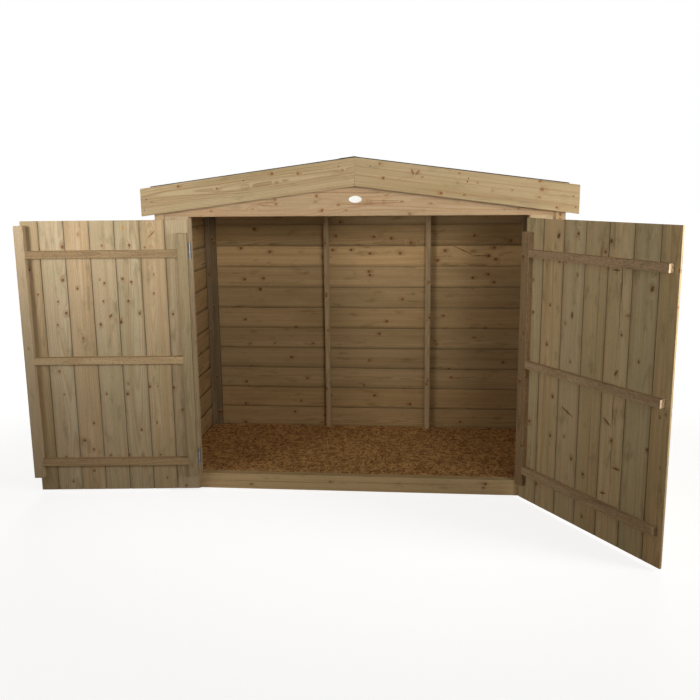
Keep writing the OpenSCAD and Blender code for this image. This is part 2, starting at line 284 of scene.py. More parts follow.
def strand_board():
    """Pressed wood strands, each flake with its own tone, lying over its neighbours."""
    t = Tree("floor_panel")
    place = t.place()
    warp = t.noise(place, 16.0, output="Color")
    bend = t.value("ShaderNodeVectorMath", {0: warp, 1: (0.5, 0.5, 0.5)}, operation="SUBTRACT")
    bend = t.value("ShaderNodeVectorMath", {0: bend, "Scale": 0.016}, operation="SCALE")
    place = t.value("ShaderNodeVectorMath", {0: place, 1: bend}, operation="ADD")
    best, shade, height = 0.0, 0.5, 0.0
    # Each lay of strands: its direction in degrees, and how many lie side by side and end to end in a metre
    lays = ((8, 120, 30), (47, 150, 36), (96, 100, 26), (141, 165, 40), (71, 130, 30), (165, 110, 38))
    for angle, beside, along in lays:
        turn = math.radians(angle)
        turned = t.value("ShaderNodeVectorRotate", {"Vector": place, "Angle": turn}, rotation_type="Z_AXIS")
        x, y, z = t.split(turned)
        spot = t.vector(x * beside, y * along, z * 12.0)
        cell = t.node("ShaderNodeTexVoronoi", {"Vector": spot, "Scale": 1.0, "Randomness": 0.95})
        first, second, third = t.split(cell.outputs["Color"])
        rank = first - Value(t, cell.outputs["Distance"]) * 0.35
        over = t.math("GREATER_THAN", rank, best)
        under = 1.0 - over
        grain = t.noise(t.vector(x * 1100.0, y * 40.0, turn), 1.0, 1.0)
        shade = (second * 0.75 + grain * 0.3) * over + shade * under
        height = (rank + third * 0.2) * over + height * under
        best = t.most(best, rank)
    colour = t.mix(t.ramp(shade, 0.1, 0.95), linear(128, 84, 42), linear(226, 178, 114))
    # Low-lying strands and the gaps between them are darkened: painted shade in the hollows
    colour = t.mix(t.ramp(height, 0.35, 0.1), colour, linear(86, 54, 26))
    return t.finish(colour, t.ramp(shade, 0.0, 1.0, 0.72, 0.5), height, 0.0008, 0.5)


def mineral_felt():
    """Bitumen felt under a layer of crushed mineral."""
    t = Tree("felt")
    place = t.place()
    grit = t.node("ShaderNodeTexVoronoi", {"Vector": place, "Scale": 620.0})
    cloud = t.noise(place, 5.0, 3.0)
    value = t.split(grit.outputs["Color"])[0]
    colour = t.mix(t.ramp(value, 0.15, 0.95), linear(34, 36, 37), linear(92, 97, 95))
    colour = t.mix(t.ramp(cloud, 0.4, 0.75, 0.0, 0.35), colour, linear(58, 60, 56))
    upward = t.split(t.value("ShaderNodeNewGeometry", output="Normal"))[2]
    colour = t.mix(t.ramp(upward, 0.2, 0.5), linear(26, 24, 23), colour)
    height = t.noise(place, 140.0, 3.0) * 0.7 - Value(t, grit.outputs["Distance"]) * 0.8
    return t.finish(colour, t.ramp(value, 0.0, 1.0, 0.95, 0.72), height, 0.0009, 0.6, 0.25)


def galvanised():
    """Zinc coat with faint spangle, duller in its worn patches."""
    t = Tree("galvanised_steel")
    place = t.place()
    value = t.split(t.value("ShaderNodeTexVoronoi", {"Vector": place, "Scale": 260.0}, "Color"))[1]
    stain = t.noise(place, 55.0, 4.0)
    colour = t.mix(value, linear(128, 129, 127), linear(162, 162, 158))
    colour = t.mix(t.ramp(stain, 0.5, 0.72, 0.0, 0.6), colour, linear(92, 86, 78))
    roughness = t.ramp(stain, 0.35, 0.75, 0.34, 0.62) + value * 0.06
    return t.finish(colour, roughness, t.noise(place, 900.0, 2.0), 0.0001, 0.3, 0.5, 0.85)


def nail_steel():
    """Nail heads, dark with rust and dirt where the hammer has worn the zinc off."""
    t = Tree("nail_steel")
    place = t.place()
    rust = t.noise(place, 420.0, 3.0)
    colour = t.mix(t.ramp(rust, 0.4, 0.65), linear(92, 90, 86), linear(62, 44, 32))
    return t.finish(colour, t.ramp(rust, 0.3, 0.7, 0.45, 0.8), rust, 0.0001, 0.4, 0.4, 0.5)


def white_plate():
    """Satin plastic, faintly soiled."""
    t = Tree("badge")
    place = t.place()
    soil = t.noise(place, 60.0, 3.0)
    colour = t.mix(t.ramp(soil, 0.45, 0.8, 0.0, 0.35), linear(240, 239, 234), linear(218, 214, 202))
    return t.finish(colour, t.ramp(soil, 0.3, 0.8, 0.28, 0.4), t.noise(place, 700.0, 2.0), 0.00005, 0.2, 0.5)


MATERIALS = {
    "door_wood": wood("door_wood", (186, 166, 136), (156, 124, 86), (162, 150, 116)),
    "frame_wood": wood("frame_wood", (176, 152, 118), (138, 106, 72), (150, 136, 104), 0.55),
    "wall_wood": wood("wall_wood", (182, 153, 110), (124, 90, 52), (150, 126, 86), saw=0.5, streaks=0.35),
    "gable_wood": wood("gable_wood", (178, 153, 120), (154, 116, 82), (166, 147, 115), 0.6, 0.0055),
    "barge_wood": wood("barge_wood", (178, 158, 122), (136, 106, 70), (160, 145, 106), 0.7, 0.005,
                       streaks=0.75),
    "rough_wood": wood("rough_wood", (188, 162, 128), (150, 118, 84), (164, 142, 110), saw=0.8, flecks=0.6),
    "floor_panel": strand_board(),
    "felt": mineral_felt(),
    "galvanised_steel": galvanised(),
    "badge": white_plate(),
    "nail_steel": nail_steel(),
}


# Boards: what each face corner knows of its place in the log

LAYERS = {"grain": 3, "pith": 3, "tone": 3, "edge": 1}
for side in "abc":
    LAYERS["knot_" + side] = 3
    LAYERS["shape_" + side] = 3
# A knot is its place along and across the board, its radius, its turn, its darkness (below 0 for amber) and
# its length over its width
NO_KNOT = (-9.0, -9.0, 0.001, 0.0, 0.0, 1.0)


def layers(bm):
    """The mesh's layers for what its face corners know, made where it has none yet."""
    made = {}
    for name, size in LAYERS.items():
        kind = bm.loops.layers.float_vector if size == 3 else bm.loops.layers.float
        made[name] = kind.get(name) or kind.new(name)
    return made


def tone(level, warm=0.0, green=0.0):
    """A board's tint: level brightens, warm moves from grey (-1) to peach (1) and green adds olive."""
    return (level * (1 + 0.045 * warm - 0.02 * green), level, level * (1 - 0.075 * warm - 0.07 * green))


def knot_list(rows):
    """Knots from (along, across, radius, darkness) in mm, and a turn and length ratio if they aren't round."""
    found = []
    for along, across, radius, dark, *rest in rows:
        turn, ratio = rest or (0.15 * math.sin(along), 1.15)
        found.append((along / 1000, across / 1000, radius / 1000, turn, dark, ratio))
    return found


def random_knots(rng, length, width, gap=0.22, size=(0.003, 0.0065)):
    """Knots in loose whorls along a board."""
    knots = []
    along = rng.uniform(0.2, 1.0) * gap
    while along < length - 0.02:
        for _ in range(rng.choice((1, 1, 2))):
            place = (along + rng.uniform(-0.02, 0.02), rng.uniform(0.1, 0.9) * width)
            radius, turn = rng.uniform(*size), rng.uniform(-0.3, 0.3)
            knots.append((*place, radius, turn, rng.uniform(0.1, 0.9), rng.uniform(1, 1.5)))
        along += gap * rng.uniform(0.5, 1.6)
    return knots


def pith_for(rng, width, flat=None):
    """Where the log's middle lay: behind the board for arched grain, beside it for straight grain."""
    arched = rng.random() < 0.6 if flat is None else flat
    if arched:
        return width * rng.uniform(0.2, 0.8), -rng.uniform(0.02, 0.07), rng.random()
    return width * rng.choice((-0.9, 1.9)) * rng.uniform(0.8, 1.3), -rng.uniform(0.01, 0.05), rng.random()


def nearest(knots, along):
    """The three knots that reach closest to a place along the board."""
    def away(knot):
        return abs(knot[0] - along) - knot[2] * knot[5] * abs(math.cos(knot[3]))
    return (sorted(knots, key=away) + [NO_KNOT] * 3)[:3]


def paint(layer, face, places, knots, tint, pith):
    """Writes each face corner's place in the board, the three nearest knots and the board's own tint."""
    middle = sum(place[0] for place in places) / len(places)
    near = nearest(knots, middle)
    for loop, place in zip(face.loops, places):
        loop[layer["grain"]] = place
        loop[layer["pith"]] = pith
        loop[layer["tone"]] = tint
        for side, knot in zip("abc", near):
            loop[layer["knot_" + side]] = knot[:3]
            loop[layer["shape_" + side]] = knot[3:]


def axes(u, v, origin=(0, 0, 0)):
    """Frame whose columns are the grain's direction, the board's width and its thickness."""
    u, v = Vector(u).normalized(), Vector(v).normalized()
    matrix = Matrix((u, v, u.cross(v))).transposed().to_4x4()
    matrix.translation = Vector(origin)
    return matrix


def board(bm, place, outline, length, knots, tint, pith, step=0.06, ease=EASE, shape=None):
    """Extrudes an outline along the grain, u, with eased ends. Each outline point is (v, w, start, end): its
    place, and how pale with wear and painted highlight (above 0) or dark with soil and painted shade (below 0)
    the side that begins there is at its start and its end.
    shape, where given, moves each point (u, v, w)."""
    layer = layers(bm)
    count = max(1, round((length - 2 * ease) / step))
    inner = [ease + (length - 2 * ease) * k / count for k in range(count + 1)]
    middle_v = sum(point[0] for point in outline) / len(outline)
    middle_w = sum(point[1] for point in outline) / len(outline)
    rings = []
    for u in [0.0] + inner + [length]:
        ring = []
        for v, w, _, _ in outline:
            if u in (0.0, length):
                v -= math.copysign(min(ease, abs(v - middle_v)), v - middle_v)
                w -= math.copysign(min(ease, abs(w - middle_w)), w - middle_w)
            point = shape(u, v, w) if shape else (u, v, w)
            ring.append((bm.verts.new(place @ Vector(point)), (u, v, w)))
        rings.append(ring)
    for near, far in zip(rings, rings[1:]):
        for i, (_, _, start, end) in enumerate(outline):
            j = (i + 1) % len(outline)
            corners = (near[i], near[j], far[j], far[i])
            face = bm.faces.new([vert for vert, _ in corners])
            paint(layer, face, [grain for _, grain in corners], knots, tint, pith)
            for loop, value in zip(face.loops, (start, end, end, start)):
                loop[layer["edge"]] = value
    for ring in (rings[0][::-1], rings[-1]):
        face = bm.faces.new([vert for vert, _ in ring])
        paint(layer, face, [grain for _, grain in ring], knots, tint, pith)


def to_object(bm, name, slot, body, replaces=(), look=None):
    """Turns the mesh into a piece that rides on its body, with its slot's material."""
    bmesh.ops.recalc_face_normals(bm, faces=bm.faces)
    mesh = bpy.data.meshes.new(name)
    bm.to_mesh(mesh)
    bm.free()
    mesh.materials.append(MATERIALS[look or slot])
    made = bpy.data.objects.new(name, mesh)
    bpy.context.scene.collection.objects.link(made)
    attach(made, body)
    if replaces:
        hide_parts(*replaces)
    return made


def corners_of(points):
    """The lowest and highest corners of some points."""
    low = Vector([min(point[i] for point in points) for i in range(3)])
    high = Vector([max(point[i] for point in points) for i in range(3)])
    return low, high


def islands(bm):
    """The mesh's separate solids, each as a list of its faces."""
    seen = set()
    found = []
    for first in bm.faces:
        if first in seen:
            continue
        seen.add(first)
        stack, solid = [first], []
        while stack:
            face = stack.pop()
            solid.append(face)
            for edge in face.edges:
                for other in edge.link_faces:
                    if other not in seen:
                        seen.add(other)
                        stack.append(other)
        found.append(solid)
    return found


def slice_along(bm, faces, turn, low, high, step=0.05):
    """Cuts one solid across its grain every step, so that each slice can know its own knots."""
    along = turn.to_3x3().col[0]
    count = round((high[0] - low[0]) / step)
    geometry = faces + list(dict.fromkeys(edge for face in faces for edge in face.edges))
    geometry += list(dict.fromkeys(vert for face in faces for vert in face.verts))
    for k in range(1, count):
        cut = turn @ Vector((low[0] + (high[0] - low[0]) * k / count, low[1], low[2]))
        geometry = bmesh.ops.bisect_plane(bm, geom=geometry, plane_co=cut, plane_no=along)["geom"]
    return [item for item in geometry if isinstance(item, bmesh.types.BMFace)]


def dress(node, name, u, v, tints, knots=None, gap=0.3, bevel=0.0012, flat=None, ends=(), look=None):
    """Copies a CAD node's solids, eases their arrises and lays grain along u in each one. ends gives, for each
    solid, how worn (to 1), darkened (below 0) or freshly cut (2) its first and last ends are. look names a
    material other than the slot's."""
    rng = random.Random(name)
    turn = axes(u, v)
    back = turn.inverted()
    bm = bmesh.new()
    bm.from_mesh(NODES[node].data)
    layer = layers(bm)
    bmesh.ops.remove_doubles(bm, verts=bm.verts, dist=1e-6)
    bmesh.ops.dissolve_limit(bm, angle_limit=0.01, verts=bm.verts, edges=bm.edges)
    sharp = [edge for edge in bm.edges if edge.calc_face_angle(0) > 0.4]
    eased = bmesh.ops.bevel(bm, geom=sharp, offset=bevel, offset_type="OFFSET", segments=2, profile=0.5,
                            affect="EDGES", clamp_overlap=True)["faces"]
    # Eased arrises are painted pale: wear, and partly a painted highlight
    for face in eased:
        for loop in face.loops:
            loop[layer["edge"]] = 0.6
    solids = []
    for faces in islands(bm):
        low, high = corners_of([back @ vert.co for face in faces for vert in face.verts])
        solids.append((tuple(round(value * 1000) for value in low), low, high, faces))
    solids.sort(key=lambda solid: solid[0])
    for index, (_, low, high, faces) in enumerate(solids):
        size = high - low
        own = random_knots(rng, size[0], size[1], gap) if knots is None else knots
        pith = pith_for(rng, size[1], flat)
        for face in slice_along(bm, faces, turn, low, high):
            paint(layer, face, [tuple((back @ loop.vert.co) - low) for loop in face.loops], own,
                  tints[index % len(tints)], pith)
            across = (back.to_3x3() @ face.normal)[0]
            if ends and abs(across) > 0.9:
                first, last = ends[index % len(ends)]
                for loop in face.loops:
                    loop[layer["edge"]] = last if (back @ loop.vert.co)[0] > low[0] + size[0] / 2 else first
    return to_object(bm, name, SLOTS[node], BODY_OF[node], (node,), look)


# Doors, built closed about their pins: x to the free edge and y inward

def door_frame(side):
    """Matrix from a closed left door's pin frame to where that door stands open."""
    x, y, _ = JOINTS[side + "_door_hinge"]["pos_m"]
    turn = Matrix.Rotation(math.radians(OPEN_ANGLE[side]), 4, "Z")
    if side == "right":
        turn = turn @ Matrix.Scale(-1, 4, X)
    return Matrix.Translation((x, y, 0)) @ turn


def box_in(node, place):
    """A node's lowest and highest corners in another frame."""
    back = place.inverted()
    return corners_of([back @ vert.co for vert in NODES[node].data.vertices])


DOOR_FRAME = {side: door_frame(side) for side in ("left", "right")}
DOOR_LOW, DOOR_TOP = box_in("left_door_boards", DOOR_FRAME["left"])
DOOR_W = DOOR_TOP.x - DOOR_LOW.x
BOARD_T = DOOR_TOP.y - DOOR_LOW.y
JOINT_PLACES = [0.0] + [FIRST_BOARD + COVER * k for k in range(6)] + [DOOR_W]

# Knots of each door board, the first beside the hinges: height above the door's foot, then distance from the
# board's edge that is nearer the hinges
LEFT_KNOTS = {
    0: [(1040, 35, 4.5, 0.2), (865, 85, 4, 0.9), (510, 100, 5, 0.7), (405, 25, 4.5, 0.8), (400, 65, 4, 0.7),
        (255, 30, 4, 0.6), (15, 65, 3.5, 1)],
    1: [(1240, 60, 3, 0.25, -0.8, 6), (1180, 95, 3.5, 0.3), (1055, 60, 3, 0.2), (965, 65, 3.5, 0.4),
        (515, 70, 2.5, 0.9), (515, 110, 5, 0.5), (335, 85, 3, 0.8), (175, 75, 3, 1), (55, 50, 3.5, 0.3)],
    2: [(1270, 75, 4, -0.8, 0, 2.2), (1190, 50, 4.5, 1), (1035, 90, 4.5, 0.9), (1020, 50, 4, 1),
        (930, 70, 4.5, 1), (870, 20, 4.5, 0.7), (830, 110, 6, 0.9), (530, 95, 4.5, 0.2), (480, 100, 5, 1),
        (300, 45, 4, 0.6), (175, 115, 5, 0.5)],
    3: [(1190, 60, 3, 0.9), (1030, 80, 2.5, 0.6), (1015, 60, 4, 0.7), (930, 70, 3.5, 0.7),
        (860, 40, 4.5, 0.4, -0.7, 2), (820, 90, 5, 0.7), (480, 85, 3.5, 0.6), (175, 85, 4, 0.6)],
    4: [(1240, 50, 3, 0.2), (990, 70, 4, 0.9), (755, 60, 5, 0.2), (335, 40, 4, 0.8), (250, 90, 4.5, 0.9),
        (205, 50, 4, 0.5), (95, 55, 4, 0.9)],
    5: [(1185, 10, 6.5, 0.5), (1030, 20, 6, 0.5), (930, 50, 3.5, 0.7), (875, 15, 5.5, 0.6),
        (820, 60, 3.5, 0.5), (595, 70, 4, 0.4), (480, 55, 2.5, 0.5), (165, 70, 4, 0.7), (40, 45, 3.5, 0.7)],
    6: [(1080, 55, 4.5, 0.4), (970, 75, 3, 0.9), (965, 25, 3, 0.8), (850, 65, 2.5, 0.6)],
}
RIGHT_KNOTS = {
    0: [(1035, 50, 3.5, 0.3), (890, 55, 4.5, 0.9), (385, 55, 5, 0.9)],
    1: [(1235, 85, 6.5, 1, 0.5, 1.6), (1130, 95, 5, 0.6), (935, 50, 3.5, 0.9), (760, 40, 4.5, 0.9),
        (535, 85, 5, 1), (355, 80, 5, 1), (105, 10, 4.5, 0.7)],
    2: [(1250, 75, 5, 0.8), (1080, 80, 3.5, 0.3), (910, 60, 4, 0.7, 0, 3.2), (870, 25, 5, 0.15),
        (710, 60, 3.5, 0.3), (490, 55, 3.5, 0.5, 2.03, 9), (375, 45, 3.5, 0.6), (290, 90, 5.5, 0.4)],
    3: [(1190, 83, 6, 0.12, 0.1, 7), (1185, 100, 4.5, 1), (915, 77, 1.8, 0.15, 0, 130),
        (320, 67, 1.8, 0.15, 0, 140), (245, 40, 5, 1), (55, 45, 4.5, 0.7)],
    4: [(1230, 10, 6, 0.7), (1120, 40, 3, 0.5, 1.57, 5), (1070, 67, 1.8, 0.9, 0, 42),
        (950, 105, 4.5, 0.15, 1.5, 2.4), (905, 66, 1.4, 0.2, 0, 60), (870, 80, 4, 0.4),
        (555, 61, 1.4, 0.6, 0, 46), (715, 65, 4, 0.6, 0.6, 3), (505, 35, 3.5, 0.5, 2.2, 6),
        (435, 60, 5.5, 0.7), (325, 90, 3.5, 0.6, 1.57, 5), (200, 30, 3.5, 0.4, 1.3, 4)],
    5: [(1120, 100, 2.5, 0.2), (1065, 90, 6, 0.7, 0.4, 1.7), (780, 50, 3.5, 1), (450, 110, 4.5, 0.8)],
    6: [(1145, 80, 2.5, 0.7), (1010, 85, 2.5, 0.8), (610, 65, 2.5, 0.8), (590, 40, 3, 0.7), (400, 55, 3, 0.2)],
}
LEFT_TONES = [tone(1.0, -0.2, 0.6), tone(1.0, 0.7, 0.3), tone(1.03, -0.6, 1.0), tone(1.06, -0.4, 0.7),
              tone(1.04, 0.8), tone(1.1, -0.6, 0.6), tone(0.86, 1.0, 0.5)]
RIGHT_TONES = [tone(1.18, 0.0, 1.6), tone(1.24, 0.9, 0.8), tone(1.24, 0.0, 1.0), tone(1.16, 0.5, 1.3),
               tone(1.28, 0.4, 1.0), tone(1.15, -0.4, 1.7), tone(1.12, 1.3, 0.8)]
# Splits in the right door's fifth board: lowest and highest place above its foot, place across, and width
SPLIT_BOARD = 4
SPLITS = ((0.302, 0.424, 0.0625, 0.0016), (0.49, 0.62, 0.0605, 0.0011), (0.9, 1.135, 0.0655, 0.0013))
SPLIT_DEPTH = 0.006
SLIT = 0.0004


def tongued(width, first, last, across=None):
    """A tongued board's outline with V joints on both faces, and a slit on its inner face if across is given.
    The wood darkens over the last centimetre beside a joint."""
    gap, tongue, reach, band = 0.0005, 0.0035, 0.0045, 0.011
    slack, play = 0.0003, 0.0012
    low = 0.0 if first else gap
    high = width if last else width - gap
    under, over = (BOARD_T - tongue) / 2, (BOARD_T + tongue) / 2
    if first:
        points = [(low, EASE, 0.4, 0.4), (low + EASE, 0, 0, 0)]
    else:
        points = [(low, VEE, -1, -0.3), (low + VEE, 0, -0.3, 0), (low + VEE + band, 0, 0, 0)]
    if last:
        points += [(high - EASE, 0, 0.4, 0.4), (high, EASE, 0, 0),
                   (high, BOARD_T - EASE, 0.4, 0.4), (high - EASE, BOARD_T, 0, 0)]
    else:
        points += [(high - VEE - band, 0, 0, -0.3), (high - VEE, 0, -0.3, -1), (high, VEE, -1, -1)]
        points += [(high, under, -1, -1), (high + reach, under, -1, -1),
                   (high + reach, over, -1, -1), (high, over, -1, -1)]
        points += [(high, BOARD_T - VEE, -1, -0.3), (high - VEE, BOARD_T, -0.3, 0),
                   (high - VEE - band, BOARD_T, 0, 0)]
    if across is not None:
        points += [(across + SLIT, BOARD_T, -1, -1), (across, BOARD_T, -1, -1), (across - SLIT, BOARD_T, 0, 0)]
    if first:
        points += [(low + EASE, BOARD_T, 0.4, 0.4), (low, BOARD_T - EASE, 0, 0)]
    else:
        deep = low + reach + play
        points += [(low + VEE + band, BOARD_T, 0, -0.3), (low + VEE, BOARD_T, -0.3, -1),
                   (low, BOARD_T - VEE, -1, -1)]
        points += [(low, over + slack, -1, -1), (deep, over + slack, -1, -1),
                   (deep, under - slack, -1, -1), (low, under - slack, -1, -1)]
    return points


def opened(across):
    """Shape of a board whose slit opens at each of the splits and wanders with the grain."""
    def shape(u, v, w):
        if abs(v - across) > 1.5 * SLIT or w < BOARD_T - 1e-6:
            return u, v, w
        side = round((v - across) / SLIT)
        wave = 0.0012 * math.sin(u * 31) + 0.0006 * math.sin(u * 83)
        for low, high, middle, widest in SPLITS:
            if low < u < high:
                gape = math.sin(math.pi * (u - low) / (high - low)) ** 0.6
                depth = SPLIT_DEPTH * gape if side == 0 else 0.0
                return u, middle + wave + side * widest * gape / 2, w - depth
        return u, v + wave, w
    return shape


def door_boards(side, knots, tones):
    """One door's boards, the first beside the hinges."""
    bm = bmesh.new()
    rng = random.Random(side)
    height = DOOR_TOP.z - DOOR_LOW.z
    for index, (start, end) in enumerate(zip(JOINT_PLACES, JOINT_PLACES[1:])):
        place = DOOR_FRAME[side] @ axes(Z, X, (DOOR_LOW.x + start, DOOR_LOW.y, DOOR_LOW.z))
        split = SPLITS[0][2] if (side, index) == ("right", SPLIT_BOARD) else None
        outline = tongued(end - start, index == 0, end == DOOR_W, split)
        pith = pith_for(rng, end - start, index != 3)
        step, shape = (0.012, opened(split)) if split else (0.06, None)
        board(bm, place, outline, height, knot_list(knots[index]), tones[index], pith, step, shape=shape)
    to_object(bm, side + "_door_planks", "door_wood", side + "_door", (side + "_door_boards",))


door_boards("left", LEFT_KNOTS, LEFT_TONES)
door_boards("right", RIGHT_KNOTS, RIGHT_TONES)

LEFT_U = DOOR_FRAME["left"].to_3x3() @ X
RIGHT_U = DOOR_FRAME["right"].to_3x3() @ X
dress("left_door_ledges", "left_door_ledge_bars", LEFT_U, Z,
      [tone(0.94, 0.6, 0.8), tone(1.16, 0.0, 1.0), tone(0.76, 0.6, 0.8)], [], look="rough_wood")
# The lowest ledge's outer end is darkened with dirt and painted shade; the others' outer ends are freshly cut
dress("right_door_ledges", "right_door_ledge_bars", RIGHT_U, Z,
      [tone(1.08, 0.3), tone(1.06, 0.3), tone(1.08, 0.2)], [], ends=[(0, -0.5), (0, 2), (0, 2)],
      look="rough_wood")
dress("left_door_batten", "left_door_hinge_batten", Z, LEFT_U, [tone(0.74, 0.3, 1.3)], [])
dress("right_door_batten", "right_door_hinge_batten", Z, RIGHT_U, [tone(0.68, 1.5)],
      ends=[(-0.3, 2)], look="rough_wood")
# Its foot is darkened, and its top end is painted pale: fresh-cut end grain and a painted highlight where light
# catches the top
dress("meeting_strip", "door_meeting_strip", Z, LEFT_U, [tone(1.0, 0.1)], gap=0.7, ends=[(-0.9, 2)])


# Frame and floor

TIMBERS = (
    ("door_post_left", "left_door_post", Z, X, 0.98), ("door_post_right", "right_door_post", Z, X, 0.96),
    ("front_corner_posts", "front_corner_studs", Z, X, 0.92), ("header_rail", "header_timber", X, Z, 0.9),
    ("back_top_rail", "back_rail_timber", X, Z, 0.9), ("ridge_beam", "ridge_timber", Y, Z, 0.9),
    ("eaves_rails", "eaves_timbers", Y, Z, 0.88), ("front_gable_rails", "front_gable_timbers", X, Z, 0.9),
    ("back_gable_rails", "back_gable_timbers", X, Z, 0.9), ("floor_joists", "joist_timbers", X, Z, 0.85),
    ("floor_side_bearers", "bearer_timbers", Y, Z, 0.85))
# Corner strips and front panels with their brightness: the front corner strips are painted lighter than the back
# ones, partly painted light where the barge boards shade them
STRIPS = (
    ("corner_strip_front_left", "front_left_strip", 1.1),
    ("corner_strip_front_right", "front_right_strip", 1.1),
    ("corner_strip_back_left", "back_left_strip", 0.95),
    ("corner_strip_back_right", "back_right_strip", 0.95),
    ("front_panel_left", "left_front_plank", 0.98),
    ("front_panel_right", "right_front_plank", 0.97))
# The back battens' brightness, from left to right: partly their own tones and partly painted light and shade,
# darkest at the left end and brightest in the middle
BATTEN_LEVELS = (0.6, 0.5, 1.2, 1.1, 0.8, 0.8)
SILL_KNOTS = knot_list([(1385, 55, 5, 0.9), (1375, 35, 4, 0.6), (640, 45, 4, 0.3), (250, 25, 3.5, 0.4),
                        (420, 40, 1.6, 0.18, 0, 150), (1010, 46, 1.6, 0.18, 0, 160)])

for node, name, u, v, level in TIMBERS:
    dress(node, name, u, v, [tone(level, 0.2), tone(level * 0.97, -0.3), tone(level, 0.5)])
dress("back_posts", "back_battens", Z, X, [tone(level, 0.2) for level in BATTEN_LEVELS])
dress("door_sill", "sill_timber", X, Z, [tone(1.2, 1.5, 0.7)], SILL_KNOTS)
dress("floor_board", "floor_panel_sheet", X, Y, [tone(1.0)], [])
for node, name, level in STRIPS:
    dress(node, name, Z, X, [tone(level, 0.1)], bevel=EASE)


# Overlap walls: each board leans out over the top of the one below

# Knots of single boards, counted from the lowest whole one: along the wall, then height above the board's foot
BACK_KNOTS = {
    10: [(740, 35, 6, 0.5)],
    9: [(250, 115, 7.5, 0.9), (715, 75, 6, 0.5), (930, 70, 6, 0.5), (1025, 60, 6, 0.5), (1135, 35, 7.5, 0.3),
        (1270, 85, 6, 0.1), (1485, 75, 6, 0.5), (1685, 45, 7.5, 0.35)],
    8: [(170, 125, 6, 0.5), (335, 105, 6, 0.5), (695, 115, 6, 0.5), (800, 115, 6, 0.5), (905, 95, 6, 0.5),
        (1075, 95, 6, 0.5), (1285, 55, 6, 0.5), (1305, 95, 6, -0.3), (1325, 110, 6, 0.5),
        (1425, 110, 2, 1, -0.44, 24), (1480, 105, 7, 0.12, 0, 2), (1515, 80, 2, 1, 0, 22),
        (1565, 80, 7, 0.9), (1595, 125, 6, 0.5), (1605, 60, 6, 0.5)],
    7: [(185, 65, 6, 0.5), (295, 70, 6, 0.5), (900, 110, 6, 0.5), (905, 90, 6, 0.5), (1480, 75, 6, 0.5),
        (1565, 95, 6, 0.5), (1600, 50, 6, 0.5)],
    6: [(275, 125, 7, 0.9), (1090, 70, 6, 0.3)],
}
LEFT_WALL_KNOTS = {9: [(595, 128, 5, 0.9)], 8: [(695, 42, 2.5, 1, 0, 16)]}
# Brightness of the back wall's boards: partly their own tones and partly painted light, brightest on board 8 just
# below the header's shade and fading on the boards below
BACK_LEVELS = {10: 1.1, 9: 0.92, 8: 1.4, 7: 1.18, 6: 1.02, 5: 1.0, 4: 0.95}
# The left wall's boards are painted a tenth brighter than the same boards elsewhere: painted light on its dim
# inner face
LEFT_WALL_LEVELS = {index: 1.1 for index in range(12)}
BARGE_LOW, BARGE_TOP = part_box("barge_board_front_left")
FALL = (BARGE_TOP.z - BARGE_LOW.z - BARGE_H) / (BARGE_TOP.x - BARGE_LOW.x)
RIDGE = Vector((0, 0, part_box("back_wall_boards")[1].z))
SLOPES = [(RIDGE, Vector((FALL, 0, 1)).normalized()), (RIDGE, Vector((-FALL, 0, 1)).normalized())]


def lap_outline(low, bottom, high, flip):
    """An overlap board seen from its end, a little thinner than the CAD's so that it lies on the one below."""
    thin = LAP_T * (EXPOSURE - 0.0004) / (EXPOSURE + LAP)
    shadow, soil = 0.01, 0.016
    covered, resting = low + EXPOSURE, low + LAP

    def outer(z):
        return 2 * LAP_T - LAP_T * (z - low) / (EXPOSURE + LAP)

    def inner(z):
        return outer(z) - thin

    points = [(bottom, inner(bottom) + EASE, 0.2, 0.2), (bottom, outer(bottom) - EASE, 0.6, 0.6),
              (bottom + EASE, outer(bottom), 0, 0)]
    # A painted shadow darkens the outer face over the last 10 mm below the edge of the board above
    if covered < high:
        points += [(covered - shadow, outer(covered - shadow), 0, -0.6), (covered, outer(covered), -0.6, -1)]
    # The top edge, in the crevice behind the board above, is darkened with dust and painted shade; the inner arris
    # at the top is painted pale as a painted highlight
    points += [(high - EASE, outer(high), -1, -1), (high, outer(high) - EASE, -1, -0.7),
               (high, inner(high) + EASE, 0.3, 0.3), (high - EASE, inner(high), 0, 0)]
    # The inner face is darkened for 16 mm above the top of the board below: dust and painted shade in the crevice
    if resting > bottom + EASE:
        points += [(resting + soil, inner(resting + soil), 0, -0.8), (resting, inner(resting), -1, -1)]
    points.append((bottom + EASE, inner(bottom), -1, -1))
    return [(z, flip * x, start, end) for z, x, start, end in points]


def wavy(phase, top, wall_top):
    """Shape of a board whose upper edge, where it lies free, wanders a little along its length."""
    def shape(a, z, x):
        wave = 0.0011 * math.sin(a * 3.1 + phase) + 0.0006 * math.sin(a * 11 + 2 * phase)
        free = z > top - 0.002 and top < wall_top
        return a, z + wave * free, x
    return shape


